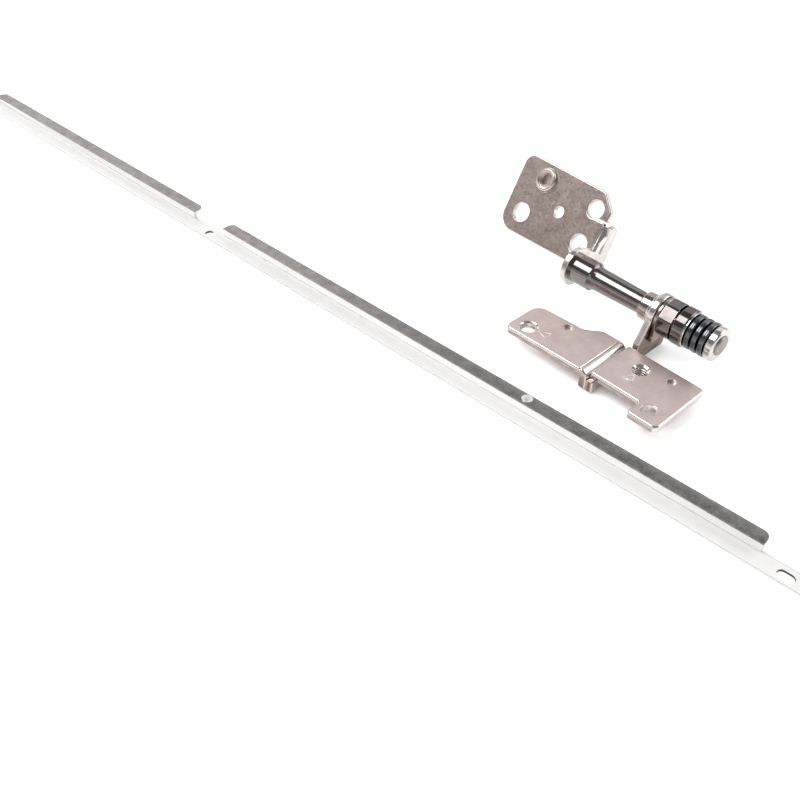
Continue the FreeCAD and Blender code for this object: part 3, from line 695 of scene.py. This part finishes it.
def rounded_copy(node, name, body, slot, material, edge_mm, rolls=(), steps=3):
    """Copy of a CAD node with rounded edges, which replaces the node and rides its body.

    rolls lists the skins of the sheet whose outline was rolled over by punching, each with its
    radius in mm. Other outer edges get edge_mm, and inner corners stay as they are.
    """
    work = joined_up(node)
    weight = work.edges.layers.float.new("bevel_weight_edge")
    sharp = [
        edge for edge in work.edges
        if edge.is_convex and edge.calc_face_angle(0.0) > sharp_angle
    ]
    widest = max([edge_mm] + [radius for skin, radius in rolls])
    for edge in sharp:
        edge[weight] = edge_mm / widest
    for skin, radius in rolls:
        for edge in outline_edges(sharp, skin):
            edge[weight] = radius / widest
    mesh = bpy.data.meshes.new(name)
    work.to_mesh(mesh)
    work.free()
    mesh.materials.append(material)
    piece = bpy.data.objects.new(name, mesh)
    rounding = piece.modifiers.new("rounding", "BEVEL")
    rounding.limit_method = "WEIGHT"
    rounding.width = widest * MM
    rounding.segments = steps
    rounding.use_clamp_overlap = False
    plain_mesh(piece, name)
    piece.data.shade_smooth()
    piece.data.set_sharp_from_angle(angle=crease_angle)
    flats = piece.modifiers.new("flats", "WEIGHTED_NORMAL")
    flats.keep_sharp = True
    scene.collection.objects.unlink(piece)
    plain_mesh(piece, name)
    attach(piece, body)
    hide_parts(node)
    return piece


up = Vector((0.0, 0.0, 1.0))
along = Vector((1.0, 0.0, 0.0))
depth_way = Vector((0.0, 1.0, 0.0))
wing_top = up * base_sheet * MM
seam_point = along * seam_x * MM
left_bend = seam_point + Vector((-left_bend_outer, 0.0, -left_bend_inner)) * MM
coined_bend = seam_point + Vector((coined_corner, 0.0, base_sheet - coined_corner)) * MM
lid_ear_point = seam_point - along * lid_ear_to_seam * MM
lid_face = hinge_axis - lid_front * lid_offset * MM
lid_bend = (
    hinge_axis - along * (lid_ear_to_seam + lid_bend_outer) * MM
    - lid_front * (lid_offset + lid_bend_outer) * MM
)
right_skin = [
    on_plane(wing_top, up),
    on_bend(coined_bend, depth_way, coined_corner * MM),
    on_plane(seam_point, along),
]
ear_skin = [on_plane(seam_point + along * base_sheet * MM, along)]
left_skin = [
    on_plane(wing_top, up),
    on_bend(left_bend, depth_way, left_bend_outer * MM),
    on_plane(seam_point, along),
]
lid_skin = [
    on_plane(lid_face, lid_front),
    on_bend(lid_bend, lid_up, lid_bend_outer * MM),
    on_plane(lid_ear_point, along),
]
lid_ear_skin = [on_plane(lid_ear_point - along * lid_sheet * MM, along)]
boss_rim = [on_bend(boss_centre, lid_front, boss_top_radius * MM)]
boss_mouth = [on_bend(boss_centre, lid_front, boss_radius * MM)]
burr_edge = 0.08
roll_steps = 6
stampings = [
    ("base_bracket_right", "right_wing_stamping", "base", "base_nickel", base_nickel, burr_edge,
     [(right_skin, 0.34), (ear_skin, 0.30)], roll_steps),
    ("base_bracket_left", "left_wing_stamping", "base", "base_nickel", base_nickel, burr_edge,
     [(left_skin, 0.36)], roll_steps),
    ("lid_bracket", "lid_stamping", "lid", "lid_nickel", lid_nickel, burr_edge,
     [(lid_skin, 0.28), (lid_ear_skin, 0.28), (boss_rim, 0.20), (boss_mouth, 0.20)], roll_steps),
]
plain_edged = [
    ("friction_plate", "friction_leaf", "base", "bright_nickel", friction_painted_shade, 0.26),
    ("fixed_cam", "faceted_cam", "base", "black_nickel", cam_painted_shade_highlight, 0.05),
    ("display_rail", "folded_rail", "base", "rail_zinc", rail_zinc, burr_edge),
    ("hinge_shaft", "turned_shaft", "lid", "black_nickel", black_nickel, 0.06),
    ("collar_washer", "collar_ring", "lid", "bright_nickel", bright_nickel, 0.16),
    ("moving_cam", "keyed_cam", "lid", "black_nickel", cam_painted_shade_highlight, 0.05),
    ("thrust_washer", "thrust_ring", "lid", "bright_nickel", bright_nickel, 0.06),
    ("end_nut", "nut_ring", "lid", "bright_nickel", bright_nickel, 0.06),
]
for details in stampings + plain_edged:
    piece = rounded_copy(*details)
    print(piece.name, len(piece.data.polygons), "faces")

# %% [markdown]
# Six disc springs sit on the shaft in three pairs, each a dished ring whose rim was rounded by
# tumbling. One ring and a rule for repeating it is all that the stack needs, so Geometry Nodes
# make it: a four-cornered section gets its corners filleted, a grid is wrapped round the axis
# along that section, a second copy is turned about to make a pair, and the pair is set on a
# line of points. Realize Instances makes it plain geometry.

# %% Geometry Nodes: disc spring stack
def new_tree(name, inputs):
    """Starts a Geometry Nodes tree with named inputs and one geometry output."""
    tree = bpy.data.node_groups.new(name, "GeometryNodeTree")
    for label, kind in inputs:
        tree.interface.new_socket(label, in_out="INPUT", socket_type="NodeSocket" + kind)
    tree.interface.new_socket("Geometry", in_out="OUTPUT", socket_type="NodeSocketGeometry")
    return tree, add_node(tree, "NodeGroupInput"), add_node(tree, "NodeGroupOutput")


def grown(tree, geometry, output, finish_socket):
    """Ends a tree: realizes instances, shades smooth and sets the material."""
    realized = add_node(tree, "GeometryNodeRealizeInstances", {"Geometry": geometry})
    smooth = add_node(tree, "GeometryNodeSetShadeSmooth", {"Geometry": realized.outputs[0]})
    painted = add_node(tree, "GeometryNodeSetMaterial", {
        "Geometry": smooth.outputs[0], "Material": finish_socket,
    })
    tree.links.new(painted.outputs[0], output.inputs["Geometry"])


stack_tree, stack_in, stack_out = new_tree("disc_spring_stack", [
    ("Pairs", "Int"), ("Bore Radius", "Float"), ("Rim Radius", "Float"), ("Thickness", "Float"),
    ("Dish", "Float"), ("Rim Rounding", "Float"), ("Start", "Vector"), ("Finish", "Material"),
])
bore, rim = (stack_in.outputs[label] for label in ("Bore Radius", "Rim Radius"))
thickness, dish = stack_in.outputs["Thickness"], stack_in.outputs["Dish"]
disc_length = math_node(stack_tree, "ADD", thickness, dish)
pair_length = math_node(stack_tree, "MULTIPLY", disc_length, 2.0)
section = add_node(stack_tree, "GeometryNodeCurvePrimitiveQuadrilateral", {
    "Point 1": join_xyz(stack_tree, 0.0, bore),
    "Point 2": join_xyz(stack_tree, dish, rim),
    "Point 3": join_xyz(stack_tree, disc_length, rim),
    "Point 4": join_xyz(stack_tree, thickness, bore),
}, mode="POINTS")
corner_number = add_node(stack_tree, "GeometryNodeInputIndex")
outer_corner = add_node(
    stack_tree, "FunctionNodeCompare", {2: corner_number.outputs[0], 3: 1},
    data_type="INT", operation="EQUAL",
)
rounding = stack_in.outputs["Rim Rounding"]
corner_radius = add_node(stack_tree, "GeometryNodeSwitch", {
    "Switch": outer_corner.outputs[0],
    "False": math_node(stack_tree, "MULTIPLY", rounding, 0.15),
    "True": rounding,
}, input_type="FLOAT")
rounded_section = add_node(stack_tree, "GeometryNodeFilletCurve", {
    "Curve": section.outputs[0], "Radius": corner_radius.outputs[0], "Count": 8,
}, mode="POLY")

sheet = add_node(stack_tree, "GeometryNodeMeshGrid", {
    "Size X": 1.0, "Size Y": 1.0, "Vertices X": 73, "Vertices Y": 61,
})
sheet_place = add_node(stack_tree, "GeometryNodeInputPosition")
sheet_parts = add_node(stack_tree, "ShaderNodeSeparateXYZ", {0: sheet_place.outputs[0]})
round_share = math_node(stack_tree, "ADD", sheet_parts.outputs["X"], 0.5)
section_share = math_node(stack_tree, "ADD", sheet_parts.outputs["Y"], 0.5)
on_section = add_node(stack_tree, "GeometryNodeSampleCurve", {
    "Curves": rounded_section.outputs[0], "Factor": section_share,
}, mode="FACTOR")
section_parts = add_node(stack_tree, "ShaderNodeSeparateXYZ", {0: on_section.outputs["Position"]})
angle = math_node(stack_tree, "MULTIPLY", round_share, 2.0 * math.pi)
radial = section_parts.outputs["Y"]
sideways = math_node(stack_tree, "MULTIPLY", radial, math_node(stack_tree, "COSINE", angle))
upward = math_node(stack_tree, "MULTIPLY", radial, math_node(stack_tree, "SINE", angle))
wrapped = add_node(stack_tree, "GeometryNodeSetPosition", {
    "Geometry": sheet.outputs[0],
    "Position": join_xyz(stack_tree, section_parts.outputs["X"], sideways, upward),
})
disc = add_node(stack_tree, "GeometryNodeMergeByDistance", {
    "Geometry": wrapped.outputs[0], "Distance": 1e-6,
})
pair_step = join_xyz(stack_tree, pair_length)
turned_about = add_node(stack_tree, "GeometryNodeTransform", {
    "Geometry": disc.outputs[0], "Translation": pair_step, "Rotation": (0.0, 0.0, math.pi),
})
pair = add_node(stack_tree, "GeometryNodeJoinGeometry")
for one_disc in (disc, turned_about):
    stack_tree.links.new(one_disc.outputs[0], pair.inputs[0])
seats = add_node(stack_tree, "GeometryNodeMeshLine", {
    "Count": stack_in.outputs["Pairs"],
    "Start Location": stack_in.outputs["Start"],
    "Offset": pair_step,
})
stacked = add_node(stack_tree, "GeometryNodeInstanceOnPoints", {
    "Points": seats.outputs[0], "Instance": pair.outputs[0],
})
grown(stack_tree, stacked.outputs[0], stack_out, stack_in.outputs["Finish"])


def grow(tree, name, body, values, nodes=()):
    """Runs a tree on an empty mesh, keeps the result as a plain mesh and lets it ride."""
    piece = bpy.data.objects.new(name, bpy.data.meshes.new(name))
    modifier = piece.modifiers.new(name, "NODES")
    modifier.node_group = tree
    for item in tree.interface.items_tree:
        if item.in_out == "INPUT":
            modifier[item.identifier] = values[item.name]
    plain_mesh(piece, name)
    work = bmesh.new()
    work.from_mesh(piece.data)
    if work.calc_volume(signed=True) < 0.0:
        bmesh.ops.reverse_faces(work, faces=work.faces)
    volume = work.calc_volume(signed=True)
    work.to_mesh(piece.data)
    work.free()
    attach(piece, body)
    if nodes:
        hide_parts(*nodes)
    print(name, len(piece.data.polygons), "faces, %.3f mm3" % (volume / MM ** 3))
    return piece


first_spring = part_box("disc_spring_1")
spring_names = ["disc_spring_%d" % number for number in range(1, 7)]
spring_length = first_spring[1].x - first_spring[0].x
grow(stack_tree, "spring_stack", "lid", {
    "Pairs": len(spring_names) // 2,
    "Bore Radius": spring_bore_radius * MM,
    "Rim Radius": (first_spring[1].z - first_spring[0].z) / 2.0,
    "Thickness": spring_length - spring_dish * MM,
    "Dish": spring_dish * MM,
    "Rim Rounding": 0.26 * MM,
    "Start": (first_spring[0].x, hinge_axis.y, hinge_axis.z),
    "Finish": spring_black,
}, spring_names)

# %% [markdown]
# Two drawn holes are tapped. A thread is a ridge that follows a helix, which is a spiral curve
# of constant radius swept with a small round section. The same tree serves both holes: the one
# in the right wing stands upright, and the lid's leans with the lid.

# %% Geometry Nodes: tapped threads
thread_tree, thread_in, thread_out = new_tree("tapped_thread", [
    ("Turns", "Float"), ("Radius", "Float"), ("Height", "Float"), ("Ridge", "Float"),
    ("Place", "Vector"), ("Lean", "Vector"), ("Finish", "Material"),
])
helix = add_node(thread_tree, "GeometryNodeCurveSpiral", {
    "Resolution": 40,
    "Rotations": thread_in.outputs["Turns"],
    "Start Radius": thread_in.outputs["Radius"],
    "End Radius": thread_in.outputs["Radius"],
    "Height": thread_in.outputs["Height"],
})
ridge = add_node(thread_tree, "GeometryNodeCurvePrimitiveCircle", {
    "Resolution": 8, "Radius": thread_in.outputs["Ridge"],
})
swept = add_node(thread_tree, "GeometryNodeCurveToMesh", {
    "Curve": helix.outputs[0], "Profile Curve": ridge.outputs[0], "Fill Caps": True,
})
placed = add_node(thread_tree, "GeometryNodeTransform", {
    "Geometry": swept.outputs[0],
    "Translation": thread_in.outputs["Place"],
    "Rotation": thread_in.outputs["Lean"],
})
grown(thread_tree, placed.outputs[0], thread_out, thread_in.outputs["Finish"])

wing_thread_level = -1.1
boss_thread_depth = 4.95
wing_foot = Vector((seam_x + tapped_hole_from_seam, tapped_hole_y, wing_thread_level)) * MM
boss_foot = boss_centre - lid_front * boss_thread_depth * MM
grow(thread_tree, "wing_thread", "base", {
    "Turns": 4.2, "Radius": 1.05 * MM, "Height": 1.9 * MM, "Ridge": 0.13 * MM,
    "Place": wing_foot, "Lean": (0.0, 0.0, 0.0), "Finish": base_nickel,
})
grow(thread_tree, "boss_thread", "lid", {
    "Turns": 3.2, "Radius": boss_radius * MM, "Height": 1.3 * MM, "Ridge": 0.17 * MM,
    "Place": boss_foot, "Lean": (lid_tilt, 0.0, 0.0), "Finish": lid_nickel,
})

# %% [markdown]
# Small formed marks: a stamped triangle beside a hole of each wing, which shows as a fine raised
# line, and one round weld mark on the rail's upper flange. The triangles are closed curves with
# a thin round bevel, half sunk into the sheet. The weld mark is a low dome inside a shallow ring,
# spun from a short profile.

# %% Stamped triangles and weld mark
def stamped_line(name, corners, height_mm, width_mm):
    """Closed line of a given width that stands a little proud of a level face."""
    curve = bpy.data.curves.new(name, "CURVE")
    curve.dimensions = "3D"
    curve.bevel_depth = width_mm / 2.0 * MM
    curve.bevel_resolution = 2
    line = curve.splines.new("POLY")
    line.points.add(len(corners) - 1)
    for point, (x, y) in zip(line.points, corners):
        point.co = (x * MM, y * MM, height_mm * MM, 1.0)
    line.use_cyclic_u = True
    holder = bpy.data.objects.new(name, curve)
    scene.collection.objects.link(holder)
    bpy.context.view_layer.update()
    evaluated = holder.evaluated_get(bpy.context.evaluated_depsgraph_get())
    mesh = bpy.data.meshes.new_from_object(evaluated)
    bpy.data.objects.remove(holder)
    mesh.name = name
    # The line's pale colour is a painted highlight.
    mesh.materials.append(struck_line_highlight)
    piece = bpy.data.objects.new(name, mesh)
    scene.collection.objects.link(piece)
    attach(piece, "base")
    return piece


line_width = 0.30
line_level = base_sheet - 0.02
left_corners = [(-24.27, 2.11), (-22.19, 1.43), (-22.2, 3.13)]
right_corners = [(-7.58, 3.3), (-6.52, 5.1), (-5.88, 3.42)]
stamped_line("left_triangle", left_corners, line_level, line_width)
stamped_line("right_triangle", right_corners, line_level, line_width)

weld_steps = 40
weld_place = Vector((-15.42, -10.3, rail_top)) * MM
weld_profile = [
    (0.0, 0.06), (0.25, 0.055), (0.45, 0.035), (0.6, 0.012), (0.7, 0.004),
    (0.8, 0.02), (0.9, 0.012), (1.0, -0.03), (0.0, -0.03),
]
work = bmesh.new()
spine = [work.verts.new((radius * MM, 0.0, height * MM)) for radius, height in weld_profile]
spine_edges = [work.edges.new(ends) for ends in zip(spine, spine[1:])]
bmesh.ops.spin(
    work, geom=spine + spine_edges, axis=(0, 0, 1), cent=(0, 0, 0),
    angle=2.0 * math.pi, steps=weld_steps,
)
bmesh.ops.remove_doubles(work, verts=work.verts, dist=merge_distance)
bmesh.ops.recalc_face_normals(work, faces=work.faces)
weld_mesh = bpy.data.meshes.new("weld_mark")
work.to_mesh(weld_mesh)
work.free()
weld_mesh.transform(Matrix.Translation(weld_place))
weld_mesh.shade_smooth()
weld_mesh.materials.append(bright_nickel)
weld_mark = bpy.data.objects.new("weld_mark", weld_mesh)
scene.collection.objects.link(weld_mark)
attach(weld_mark, "base")
print("two stamped triangles and a weld mark")

# %% [markdown]
# The plain studio: a pale floor that runs up into a low wall all round, like a shallow dish, so
# that any view ends on white and the metal has something white to reflect. The paper glows a
# little for the camera and in mirrored views, which is what makes the background white, and the
# glow fades in the narrow places under the hinge, which paints a dark contact shadow there.

# %% Floor
floor_level = cad_box[0][2]
floor_centre = Vector((-0.03, 0.0, floor_level))
dish_profile = [
    (0.7, 0.0), (0.85, 0.01), (0.98, 0.045), (1.08, 0.11), (1.14, 0.2), (1.17, 0.34),
]
dish_steps = 96
paper_white = (0.92, 0.92, 0.92, 1.0)
seen_strength = 0.70
mirrored_strength = 0.34
contact_reach = 7.0 * MM
rings = []
for radius, height in dish_profile:
    rings.append([
        floor_centre + Vector((radius * math.cos(angle), radius * math.sin(angle), height))
        for angle in (2.0 * math.pi * step / dish_steps for step in range(dish_steps))
    ])
points = [floor_centre] + [point for one_ring in rings for point in one_ring]
faces = [(0, 1 + step, 1 + (step + 1) % dish_steps) for step in range(dish_steps)]
for level in range(len(rings) - 1):
    low = 1 + level * dish_steps
    high = low + dish_steps
    for step in range(dish_steps):
        after = (step + 1) % dish_steps
        faces.append((low + step, high + step, high + after, low + after))
floor_mesh = bpy.data.meshes.new("floor")
floor_mesh.from_pydata(points, [], faces)
floor_mesh.shade_smooth()
floor = bpy.data.objects.new("floor", floor_mesh)
scene.collection.objects.link(floor)

floor_paper = bpy.data.materials.new("floor_paper")
floor_paper.use_nodes = True
tree = floor_paper.node_tree
shader = tree.nodes["Principled BSDF"]
shader.inputs["Base Color"].default_value = paper_white
shader.inputs["Roughness"].default_value = 0.9
shader.inputs["Specular IOR Level"].default_value = 0.0
seen = add_node(tree, "ShaderNodeLightPath")
seen_glow = math_node(tree, "MULTIPLY", seen.outputs["Is Camera Ray"], seen_strength)
mirrored_glow = math_node(tree, "MULTIPLY", seen.outputs["Is Glossy Ray"], mirrored_strength)
open_glow = math_node(tree, "ADD", seen_glow, mirrored_glow)
# Ambient occlusion fades the glow close to the hinge, which paints a contact shadow on the floor.
occlusion = add_node(
    tree, "ShaderNodeAmbientOcclusion", {"Distance": contact_reach}, samples=2)
painted_shadow_fade = spread(tree, occlusion.outputs["AO"], 0.20, 0.62)
glow = math_node(tree, "MULTIPLY", open_glow, painted_shadow_fade)
shader.inputs["Emission Color"].default_value = (1.0, 1.0, 1.0, 1.0)
tree.links.new(glow, shader.inputs["Emission Strength"])
floor_mesh.materials.append(floor_paper)
print("floor at %.2f mm" % (floor_level / MM))

# %% [markdown]
# Polished metal shows the shape of whatever lights it, so the lamps are large soft boxes. The main
# one stands at the front left, a weaker one behind on the right draws the far edges, and two dim
# panels on the left fill the shadows. Their sizes and brightness set where the bands of light fall
# on the round pieces. Brightness is given per area, so a box can be resized without changing how
# bright its reflection is.

# %% Light
world_strength = 0.22


def soft_box(name, towards, distance, width, height, brightness):
    """Area lamp in a direction from the hinge, facing it, its width along the hinge axis."""
    data = bpy.data.lights.new(name, "AREA")
    data.shape = "RECTANGLE"
    data.size = width
    data.size_y = height
    data.energy = brightness * math.pi * width * height
    lamp = bpy.data.objects.new(name, data)
    scene.collection.objects.link(lamp)
    way = Vector(towards).normalized()
    wide = (along - way * along.dot(way)).normalized()
    facing_hinge = Matrix((wide, way.cross(wide), way)).transposed().to_4x4()
    lamp.matrix_world = Matrix.Translation(hinge_axis + way * distance) @ facing_hinge
    lamp.visible_camera = False
    return lamp


lamps = [
    soft_box("front_left_box", (-0.42, -0.40, 0.81), 0.6, 0.50, 0.34, 5.2),
    soft_box("back_right_box", (0.48, 0.66, 0.52), 0.6, 0.50, 0.36, 2.2),
    soft_box("back_left_panel", (-0.36, 0.68, 0.62), 0.7, 0.72, 0.48, 0.72),
    soft_box("left_card", (-0.90, 0.27, 0.36), 0.9, 0.60, 0.45, 1.2),
]
world = bpy.data.worlds.new("studio")
world.use_nodes = True
background = world.node_tree.nodes["Background"]
background.inputs["Color"].default_value = (1.0, 1.0, 1.0, 1.0)
background.inputs["Strength"].default_value = world_strength
scene.world = world
scene.view_settings.view_transform = "Standard"
print("lamps:", [lamp.name for lamp in lamps])

# %% [markdown]
# Last, the view layer is brought up to date.

# %% The end
bpy.context.view_layer.update()
